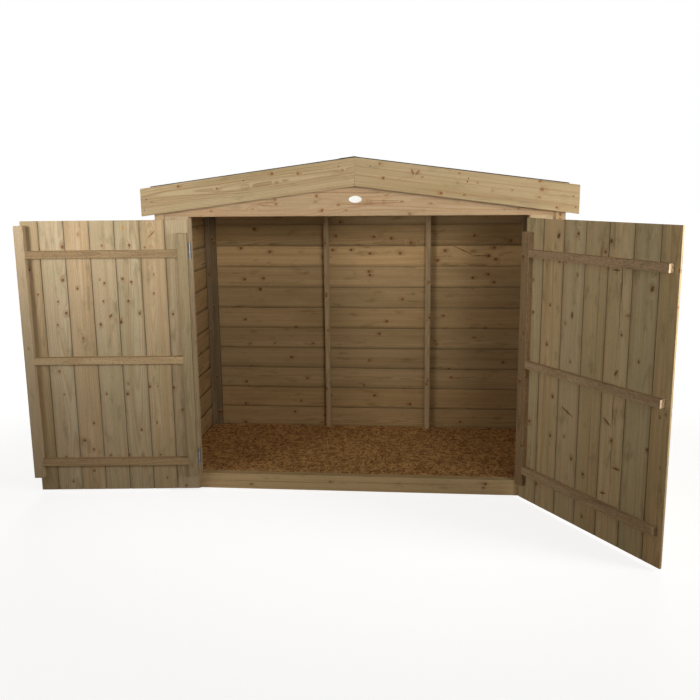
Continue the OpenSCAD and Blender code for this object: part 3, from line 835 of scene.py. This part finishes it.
def lap_wall(name, node, u, out, knots, levels, cuts=()):
    """Boards along u, one above the other, on the side that out points to. knots and levels are by board. cuts
    holds planes, each a point and a normal, past which the boards are cut off."""
    low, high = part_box(node)
    origin = Vector((low.x if out.dot(X) >= 0 else high.x, low.y, 0))
    length = (high - low).dot(u)
    spare = 0.02 if cuts else 0
    bm = bmesh.new()
    rng = random.Random(name)
    place = axes(u, Z, origin)
    flip = round(place.to_3x3().col[2].dot(out))
    for index in range(-1, math.ceil((high.z - FIRST_LAP) / EXPOSURE)):
        foot = FIRST_LAP + EXPOSURE * index
        bottom = max(foot, low.z)
        top = min(foot + EXPOSURE + LAP, high.z + spare)
        shape = wavy(rng.uniform(0, 9), top, high.z)
        own = knot_list(knots[index]) if index in knots else random_knots(rng, length, EXPOSURE, 0.3)
        own = [(knot[0], knot[1] + foot, *knot[2:]) for knot in own]
        pith_v, pith_w, seed = pith_for(rng, EXPOSURE + LAP)
        tint = tone(levels.get(index, 1.0) * rng.uniform(0.94, 1.04), rng.uniform(-0.5, 0.6))
        outline = lap_outline(foot, bottom, top, flip)
        board(bm, place, outline, length, own, tint, (pith_v + foot, pith_w, seed), step=0.05, shape=shape)
    for point, normal in cuts:
        cut = bmesh.ops.bisect_plane(bm, geom=bm.verts[:] + bm.edges[:] + bm.faces[:], plane_co=point,
                                     plane_no=normal, clear_outer=True)
        rim = [item for item in cut["geom_cut"] if isinstance(item, bmesh.types.BMEdge)]
        bmesh.ops.holes_fill(bm, edges=rim, sides=0)
    to_object(bm, name, "wall_wood", "shelter", (node,))


lap_wall("right_lap_boards", "right_wall_boards", Y, X, {}, {})
lap_wall("left_lap_boards", "left_wall_boards", Y, -X, LEFT_WALL_KNOTS, LEFT_WALL_LEVELS)
lap_wall("back_lap_boards", "back_wall_boards", X, Y, BACK_KNOTS, BACK_LEVELS, SLOPES)


# Gables and barge boards. Knots run from the left end of the gable and from the outer end of each barge board

GABLE_KNOTS = knot_list([
    (220, 25, 3.5, 0.3), (415, 35, 5, 0.05), (470, 50, 2.5, 0.1, -0.1, 14), (480, 62, 2.5, 0.15, 0.1, 14),
    (520, 75, 4.5, 0.24), (525, 55, 5, 0.2), (705, 65, 4, 0.15), (710, 90, 4.5, 0.48),
    (735, 25, 5, 0.3, 0.9, 1.6), (810, 50, 4, 0.21), (845, 25, 3.5, 0.18), (905, 52, 2, 0.15, 0, 30),
    (940, 65, 4, 0.1), (1025, 90, 4.5, 0.1), (1060, 30, 3, 0.36, 0.2, 4), (1015, 57, 2, 0.15, 0.02, 38),
    (1015, 68, 2, 0.15, -0.03, 38), (1095, 63, 3, 0.18), (1130, 8, 5, 0.2), (1225, 55, 4, 0.05),
    (1550, 24, 3, 0.1), (1610, 26, 4, 0.2), (1667, 35, 4, 0.48)])
BARGE_KNOTS = {
    "left": knot_list([
        (60, 55, 4, 0.1), (195, 110, 4.5, 0.4), (370, 75, 3.5, 0.4), (500, 65, 5, 0), (630, 105, 4.5, 0.8),
        (645, 65, 4, 0.1), (745, 90, 4, 0.45), (935, 110, 4, 0), (945, 75, 4, 0.15)]),
    "right": knot_list([
        (100, 15, 3.5, 0.8), (175, 85, 7, 0.25), (180, 50, 5, 0.15), (190, 120, 4.5, 0.6), (300, 65, 4, 0.1),
        (385, 55, 5, 0.05), (455, 80, 3, 0.2), (500, 80, 4, 0.3), (505, 20, 3, 0.5), (540, 70, 5, 0.05),
        (540, 110, 3, 0.25), (605, 15, 5.5, 0.4), (695, 75, 3, 0.2), (720, 92, 4, 0.3, -1.0, 3),
        (742, 92, 4, 0.3, 1.0, 3), (865, 50, 4, 0.9), (890, 110, 4, 0.25)]),
}
dress("front_gable_lower_board", "lower_gable_board", X, Z, [tone(1.0, 0.3)], GABLE_KNOTS, bevel=0.0016,
      flat=True)
dress("front_gable_upper_board", "upper_gable_boards", X, Z, [tone(1.02, 0.2)], bevel=0.0016, flat=True)
for side, sign in (("left", 1), ("right", -1)):
    slope, up_slope = Vector((sign, 0, FALL)), Vector((-FALL * sign, 0, 1))
    dress("barge_board_front_" + side, "front_" + side + "_barge", slope, up_slope, [tone(1.0)],
          BARGE_KNOTS[side], bevel=0.002, flat=side == "left")
    node = "barge_board_back_" + side
    made = dress(node, "back_" + side + "_barge", slope, up_slope, [tone(1.0)], bevel=0.002)
    # The back barge boards are a little thinner than the CAD's, so that their nail heads stay inside its box
    near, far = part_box(node)
    for vert in made.data.vertices:
        vert.co.y = near.y + (vert.co.y - near.y) * (1 - PROUD / (far.y - near.y))


# Roof boards and felt

PLANKS = 8
DECK_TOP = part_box("roof_boards_left")[1].z
DECK_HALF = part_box("roof_boards_right")[1].x
ROOF_FRONT, ROOF_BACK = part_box("roof_boards_left")[0].y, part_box("roof_boards_left")[1].y
# Length down the slope of a metre on the level
STEEP = math.sqrt(1 + FALL * FALL)


def upright_ends(u, v, w):
    """Shape of a roof board whose ends stand upright although it slopes."""
    return u + FALL * w, v, w


def roof_planks(side, sign):
    """Tongued boards side by side from front to back, each one from the ridge to the eaves."""
    bm = bmesh.new()
    rng = random.Random(side)
    cover = (ROOF_BACK - ROOF_FRONT) / PLANKS
    length = DECK_HALF * STEEP
    start = ROOF_FRONT if sign < 0 else ROOF_BACK
    for index in range(PLANKS):
        place = axes((sign, 0, -FALL), (0, -sign, 0), (0, start - sign * cover * index, DECK_TOP))
        outline = tongued(cover, index == 0, index == PLANKS - 1)
        knots = random_knots(rng, length, cover, 0.3)
        tint = tone(rng.uniform(0.9, 1.0), rng.uniform(-0.5, 0.5))
        board(bm, place, outline, length, knots, tint, pith_for(rng, cover), shape=upright_ends)
    to_object(bm, side + "_roof_planks", "frame_wood", "shelter", ("roof_boards_" + side,))


def roof_felt(side, sign, over):
    """A sheet of felt laid from the ridge down to the eaves and turned down there, with a lip at each verge.
    over is how far it runs past the ridge, on top of the other sheet."""
    skin, thick, bend = 0.00005, 0.0014, 0.0033
    settle, fade = 0.02, 0.02
    edge_z = DECK_TOP - FALL * DECK_HALF
    foot_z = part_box("roof_felt_" + side)[0].z

    def raised(x):
        """How far a sheet that passes over the other one lies above its place."""
        return (thick + skin) * min(1.0, max(0.0, 1.0 - x / settle)) if over else 0.0

    def profile(offset):
        """One face of the sheet seen from the front, at a distance above the roof boards."""
        places = [-over, -over / 2, 0.0] if over else [0.0]
        places += [0.3 * settle, 0.65 * settle, settle, 0.1, 0.25, 0.4, 0.55, 0.7, 0.85]
        line = [(x, DECK_TOP - FALL * abs(x) + (offset + raised(x)) * STEEP) for x in places]
        radius = bend + offset
        middle_x = DECK_HALF - bend
        middle_z = DECK_TOP - FALL * middle_x - bend * STEEP
        flat_turn = math.atan2(1.0, FALL)
        steps = 6
        for k in range(steps + 1):
            angle = flat_turn * (1 - k / steps)
            line.append((middle_x + radius * math.cos(angle), middle_z + radius * math.sin(angle)))
        line.append((DECK_HALF + offset, (edge_z + foot_z) / 2))
        line.append((DECK_HALF + offset, foot_z))
        return line

    outline = profile(skin + thick) + profile(skin)[::-1]
    bm = bmesh.new()
    count = 14
    rings = []
    for k in range(count + 1):
        y = ROOF_FRONT + (ROOF_BACK - ROOF_FRONT) * k / count
        ring = []
        for x, z in outline:
            flap = max(0.0, min(1.0, (edge_z - z) / fade))
            ripple = 0.0007 * flap * (0.5 + 0.5 * math.sin(9 * y + 2 * sign) * math.sin(31 * y))
            ring.append(Vector((sign * (x + ripple), y, z)))
        rings.append(ring)
    loft(bm, rings)
    # The lip seen from its end: how far each point stands out of the verge and above the boards
    droop = 0.0018 if over else 0.0015
    lip = [(-0.001, 0.0), (0.0006, 0.0), (0.0007, -droop), (0.0018, -droop), (0.0018, 0.0004), (0.0012, thick),
           (-0.001, thick)]
    places = ([-over] if over else []) + [0.0, settle, DECK_HALF * 0.5, DECK_HALF - 0.002]
    for face_y, out in ((ROOF_FRONT, -1), (ROOF_BACK, 1)):
        rings = []
        for x in places:
            top = DECK_TOP - FALL * abs(x) + (skin + raised(x)) * STEEP
            rings.append([Vector((sign * x, face_y + out * reach, top + rise)) for reach, rise in lip])
        loft(bm, rings)
    to_object(bm, side + "_felt_sheet", "felt", "shelter", ("roof_felt_" + side,))


def loft(bm, rings):
    """Joins closed rings of points one after another and closes both ends."""
    made = [[bm.verts.new(point) for point in ring] for ring in rings]
    for near, far in zip(made, made[1:]):
        for i in range(len(near)):
            j = (i + 1) % len(near)
            bm.faces.new((near[i], near[j], far[j], far[i]))
    bm.faces.new(made[0][::-1])
    bm.faces.new(made[-1])


for side, sign, over in (("left", -1, 0.0), ("right", 1, 0.07)):
    roof_planks(side, sign)
    roof_felt(side, sign, over)


# Nails, screws and the badge

def on_face(point, normal):
    """Frame at a point whose third axis stands out of the surface."""
    normal = Vector(normal).normalized()
    side = normal.orthogonal().normalized()
    matrix = Matrix((side, normal.cross(side), normal)).transposed().to_4x4()
    matrix.translation = Vector(point)
    return matrix


def circle(place, radius, height, sides=10):
    """Points round a frame's third axis, at a height along it."""
    turns = [2 * math.pi * k / sides for k in range(sides)]
    return [place @ Vector((radius * math.cos(a), radius * math.sin(a), height)) for a in turns]


def heads(name, body, places, radius=0.0022, rise=0.0007):
    """Round nail heads, one at each (point, outward direction)."""
    bm = bmesh.new()
    for point, normal in places:
        place = on_face(point, normal)
        steps = ((0.9, -rise), (1.0, 0), (1.0, rise * 0.6), (0.7, rise))
        loft(bm, [circle(place, radius * share, height) for share, height in steps])
    to_object(bm, name, "galvanised_steel", body, look="nail_steel")


def screws(name, body, places, radius=0.0034):
    """Countersunk heads with a cross recess, one at each (point, outward direction)."""
    arm, half, sunk, dome = radius * 0.55, radius * 0.15, 0.0003, 0.0004
    turns = [Matrix.Rotation(quarter * math.pi / 2 + 0.3, 2) for quarter in range(4)]
    cross = [turn @ Vector(corner) for turn in turns for corner in ((arm, half), (half, half), (half, arm))]
    rim = [corner.normalized() * radius for corner in cross]
    steps = ((rim, 0.9, -dome), (rim, 1.0, 0.0), (rim, 0.97, sunk), (cross, 1.0, dome), (cross, 1.0, -sunk))
    bm = bmesh.new()
    for point, normal in places:
        place = on_face(point, normal)
        rings = []
        for outline, share, height in steps:
            rings.append([place @ Vector((*(spot * share), height)) for spot in outline])
        loft(bm, rings)
    to_object(bm, name, "galvanised_steel", body)


def door_places(side, spots):
    """(x, y, z, outward direction) in the closed door's pin frame, as places on the open door."""
    place = DOOR_FRAME[side]
    return [(place @ Vector((x, y, z)), place.to_3x3() @ Vector(normal)) for x, y, z, normal in spots]


def bars_of(node):
    """The middle heights of a node's separate bars."""
    bm = bmesh.new()
    bm.from_mesh(NODES[node].data)
    bmesh.ops.remove_doubles(bm, verts=bm.verts, dist=1e-6)
    found = []
    for faces in islands(bm):
        low, high = corners_of([vert.co for face in faces for vert in face.verts])
        found.append((low.z + high.z) / 2)
    bm.free()
    return sorted(found)


LEDGES = bars_of("left_door_ledges")
HINGES = bars_of("left_door_hinge_leaves")
LEAF_FACE = 0.0009
# A door board's two nails on each ledge: share of the board's width, and place above the ledge's middle
BOARD_NAILS = ((0.25, 0.006), (0.75, -0.006))
# The screws of a hinge leaf: place above the hinge's middle, and inward of its pin
LEAF_SCREWS = ((-0.026, 0.012), (0.0, 0.022), (0.026, 0.012))
for side, sign in (("left", -1), ("right", 1)):
    spots = []
    for start, end in zip(JOINT_PLACES, JOINT_PLACES[1:]):
        for z in LEDGES:
            for share, shift in BOARD_NAILS:
                spots.append((DOOR_LOW.x + start + (end - start) * share, DOOR_LOW.y, z + shift, (0, -1, 0)))
    heads(side + "_door_nails", side + "_door", door_places(side, spots))
    pin_x, pin_y, _ = JOINTS[side + "_door_hinge"]["pos_m"]
    door_spots, post_spots = [], []
    for z in HINGES:
        for rise, depth in LEAF_SCREWS:
            door_spots.append((LEAF_FACE, depth, z + rise, (-1, 0, 0)))
            post_spots.append(((pin_x + sign * LEAF_FACE, pin_y + depth, z + rise), (-sign, 0, 0)))
    screws(side + "_door_screws", side + "_door", door_places(side, door_spots))
    screws(side + "_post_screws", "shelter", post_spots)

# Nails through the corner strips and front panels, in rows up each side
NAIL_FOOT, NAIL_STEP, NAIL_ROWS, PANEL_TOP_NAIL = 0.06, 0.26, 6, 1.3
frame_nails = []
for side in ("left", "right"):
    low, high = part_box("corner_strip_front_" + side)
    back_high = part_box("corner_strip_back_" + side)[1]
    panel_low, panel_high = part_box("front_panel_" + side)
    middle = (low.x + high.x) / 2
    for k in range(NAIL_ROWS):
        z = NAIL_FOOT + NAIL_STEP * k
        frame_nails.append(((middle, low.y, z), -Y))
        frame_nails.append(((middle, back_high.y, z), Y))
        for share in (0.2, 0.8):
            inner = panel_low.x + (panel_high.x - panel_low.x) * share
            frame_nails.append(((inner, panel_low.y, min(z, PANEL_TOP_NAIL)), -Y))
heads("frame_nail_heads", "shelter", frame_nails)

# Nails in each barge board, in mm: distance in from its outer end, and height above its lower edge
BARGE_NAILS = ((28, 73), (16, 27), (480, 95), (910, 95))
barge_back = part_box("barge_board_back_left")[1].y - PROUD
barge_nails = []
for sign in (-1, 1):
    for along, up in BARGE_NAILS:
        x = sign * (-BARGE_LOW.x - along / 1000)
        z = BARGE_TOP.z - BARGE_H - FALL * abs(x) + up / 1000
        barge_nails.append(((x, BARGE_LOW.y, z), -Y))
        barge_nails.append(((x, barge_back, z), Y))
heads("barge_nail_heads", "shelter", barge_nails, 0.0031)

# Nails in each overlap board, a little above its foot, over the corner posts and the back battens
NAIL_UP = 0.032
BATTEN_PLACES = (-0.87, -0.224, 0.345, 0.87)
side_low, side_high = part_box("right_wall_boards")
back_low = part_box("back_wall_boards")[0]
lean = LAP_T / (EXPOSURE + LAP)
out = 2 * LAP_T - lean * NAIL_UP
wall_nails = []
for index in range(math.ceil((side_high.z - FIRST_LAP) / EXPOSURE)):
    z = FIRST_LAP + EXPOSURE * index + NAIL_UP
    for y in (side_low.y + 0.02, side_high.y - 0.014):
        for sign in (-1, 1):
            wall_nails.append(((sign * (side_low.x + out), y, z), (sign, 0, lean)))
    for x in BATTEN_PLACES:
        wall_nails.append(((x, back_low.y + out, z), (0, 1, lean)))
heads("wall_nail_heads", "shelter", wall_nails, 0.0019)

# Broad-headed clouts through the felt where it is turned down at the eaves
CLOUTS, CLOUT_STEP, CLOUT_UP, FELT_FACE = 8, 0.1, 0.014, 0.0016
felt_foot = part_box("roof_felt_left")[0].z
clouts = []
for k in range(CLOUTS):
    y = ROOF_FRONT + 0.06 + k * CLOUT_STEP
    for sign in (-1, 1):
        clouts.append(((sign * (DECK_HALF + FELT_FACE), y, felt_foot + CLOUT_UP), (sign, 0, 0)))
heads("felt_clouts", "shelter", clouts, 0.0042, 0.0011)


def badge():
    """Blank oval plate with a raised rim and a faint dome."""
    low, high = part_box("badge_plate")
    half_x, half_z = (high.x - low.x) / 2, (high.z - low.z) / 2
    middle_z = (low.z + high.z) / 2
    thick = high.y - low.y
    # Rings from the back's edge to the front's middle: share of the plate's height, and share of its thickness
    steps = ((1.0, 0.0), (1.0, 0.7), (0.985, 0.92), (0.96, 1.0), (0.93, 0.9), (0.9, 0.6), (0.86, 0.55),
             (0.6, 0.7), (0.3, 0.8), (0.1, 0.83))
    sides = 64
    bm = bmesh.new()
    rings = []
    for scale, rise in steps:
        # The rim is equally broad all round, and the dome inside it is the same oval made smaller
        wide = half_x - half_z * (1 - scale) if scale > 0.8 else half_x * scale
        ring = []
        for k in range(sides):
            angle = 2 * math.pi * k / sides
            ring.append(Vector((wide * math.cos(angle), high.y - thick * rise,
                                middle_z + half_z * scale * math.sin(angle))))
        rings.append(ring)
    loft(bm, rings)
    made = to_object(bm, "blank_badge", "badge", "shelter", ("badge_plate",))
    for face in made.data.polygons:
        face.use_smooth = True


badge()
for node in NODES:
    if SLOTS[node] == "galvanised_steel":
        NODES[node].data.materials.clear()
        NODES[node].data.materials.append(MATERIALS["galvanised_steel"])


# Stage, light and camera

# The camera was fitted to the photo: its turns in degrees, its place in metres, and its lens on a 36 mm sensor
YAW, PITCH, ROLL = -4.8695, 9.8197, -0.5399
CAMERA_PLACE = (0.2574, -3.640, 1.4635)
LENS, SENSOR = 36.87, 36
SHIFT_X, SHIFT_Y = -0.0027, -0.0577


def stage():
    """A floor that the camera sees as white with the object's shadow, and that the object sees as brown."""
    t = Tree("studio_floor")
    x, y, _ = t.split(t.place())
    away = t.hypot(x, y)
    lit = t.node("ShaderNodeBsdfDiffuse", {"Color": (0.36, 0.25, 0.135, 1)})
    shown = t.node("ShaderNodeBsdfDiffuse", {"Color": (0.5, 0.5, 0.5, 1)})
    glow = t.node("ShaderNodeEmission", {"Color": (1, 1, 1, 1), "Strength": t.ramp(away, 1.5, 4.0, 0.8, 1.0)})
    seen = t.node("ShaderNodeAddShader", {0: shown.outputs[0], 1: glow.outputs[0]})
    path = t.node("ShaderNodeLightPath").outputs
    choose = t.most(t.most(path["Is Camera Ray"], path["Is Glossy Ray"]), path["Is Transmission Ray"])
    mixed = t.node("ShaderNodeMixShader", {0: choose, 1: lit.outputs[0], 2: seen.outputs[0]})
    t.put(t.tree.nodes["Material Output"].inputs["Surface"], mixed.outputs[0])
    bm = bmesh.new()
    bmesh.ops.create_grid(bm, x_segments=2, y_segments=2, size=30)
    mesh = bpy.data.meshes.new("studio_floor")
    bm.to_mesh(mesh)
    bm.free()
    mesh.materials.append(t.material)
    floor = bpy.data.objects.new("studio_floor", mesh)
    bpy.context.scene.collection.objects.link(floor)


def surround():
    """A white surround for the camera and for reflections, and a dimmer one that lights the object."""
    world = bpy.data.worlds.new("studio")
    bpy.context.scene.world = world
    world.use_nodes = True
    tree = world.node_tree
    tree.nodes.clear()
    lit = tree.nodes.new("ShaderNodeBackground")
    lit.inputs["Color"].default_value = (1, 0.92, 0.78, 1)
    lit.inputs["Strength"].default_value = 0.1
    white = tree.nodes.new("ShaderNodeBackground")
    white.inputs["Color"].default_value = (1, 1, 1, 1)
    path = tree.nodes.new("ShaderNodeLightPath").outputs
    chosen = path["Is Camera Ray"]
    for name in ("Is Glossy Ray", "Is Transmission Ray"):
        either = tree.nodes.new("ShaderNodeMath")
        either.operation = "MAXIMUM"
        tree.links.new(chosen, either.inputs[0])
        tree.links.new(path[name], either.inputs[1])
        chosen = either.outputs[0]
    mixed = tree.nodes.new("ShaderNodeMixShader")
    tree.links.new(chosen, mixed.inputs[0])
    tree.links.new(lit.outputs[0], mixed.inputs[1])
    tree.links.new(white.outputs[0], mixed.inputs[2])
    out = tree.nodes.new("ShaderNodeOutputWorld")
    tree.links.new(mixed.outputs[0], out.inputs[0])


def lamp(name, place, aim, size, power, spread=180):
    """A square soft box whose light stays within the spread, in degrees."""
    data = bpy.data.lights.new(name, "AREA")
    data.shape = "SQUARE"
    data.size = size
    data.energy = power
    data.spread = math.radians(spread)
    made = bpy.data.objects.new(name, data)
    made.location = place
    made.rotation_euler = (Vector(aim) - Vector(place)).to_track_quat("-Z", "Y").to_euler()
    bpy.context.scene.collection.objects.link(made)


def camera():
    """The photo's own view."""
    yaw, pitch, roll = map(math.radians, (YAW, PITCH, ROLL))
    forward = Vector((math.sin(yaw) * math.cos(pitch), math.cos(yaw) * math.cos(pitch), -math.sin(pitch)))
    level = Vector((math.cos(yaw), -math.sin(yaw), 0))
    upright = level.cross(forward)
    right = math.cos(roll) * level + math.sin(roll) * upright
    up = math.cos(roll) * upright - math.sin(roll) * level
    data = bpy.data.cameras.new("photo_view")
    data.sensor_fit = "HORIZONTAL"
    data.sensor_width = SENSOR
    data.lens = LENS
    data.shift_x, data.shift_y = SHIFT_X, SHIFT_Y
    made = bpy.data.objects.new("photo_view", data)
    made.matrix_world = Matrix((right, up, -forward)).transposed().to_4x4()
    made.location = CAMERA_PLACE
    bpy.context.scene.collection.objects.link(made)
    bpy.context.scene.camera = made


stage()
surround()
# Each lamp's place, the place that it faces, its width, its power in watts and its spread
lamp("key_left", (-2.9, -2.6, 1.5), (-0.4, -0.4, 1.75), 1.0, 12, 85)
lamp("edge_left", (-2.5, -2.2, 1.6), (-1.4, -0.4, 1.55), 0.8, 2.6, 45)
lamp("key_right", (3.4, -1.6, 1.5), (0.3, -0.4, 1.6), 1.0, 27.5, 80)
lamp("grazing_right", (2.3, -3.1, 1.75), (0, -0.4, 1.5), 0.6, 5.4, 100)
lamp("front", (1.3, -4.2, 1.5), (-0.2, 0, 1.2), 1.0, 2.6, 60)
lamp("front_high", (1.6, -4.1, 2.0), (-0.4, 0, 1.3), 0.6, 1.6, 40)
lamp("back_left", (-2.5, 3.0, 2.2), (0, 0, 0.8), 1.4, 30)
lamp("back_right", (2.5, 3.0, 2.2), (0, 0, 0.8), 1.4, 30)
camera()
bpy.context.scene.view_settings.view_transform = "Standard"
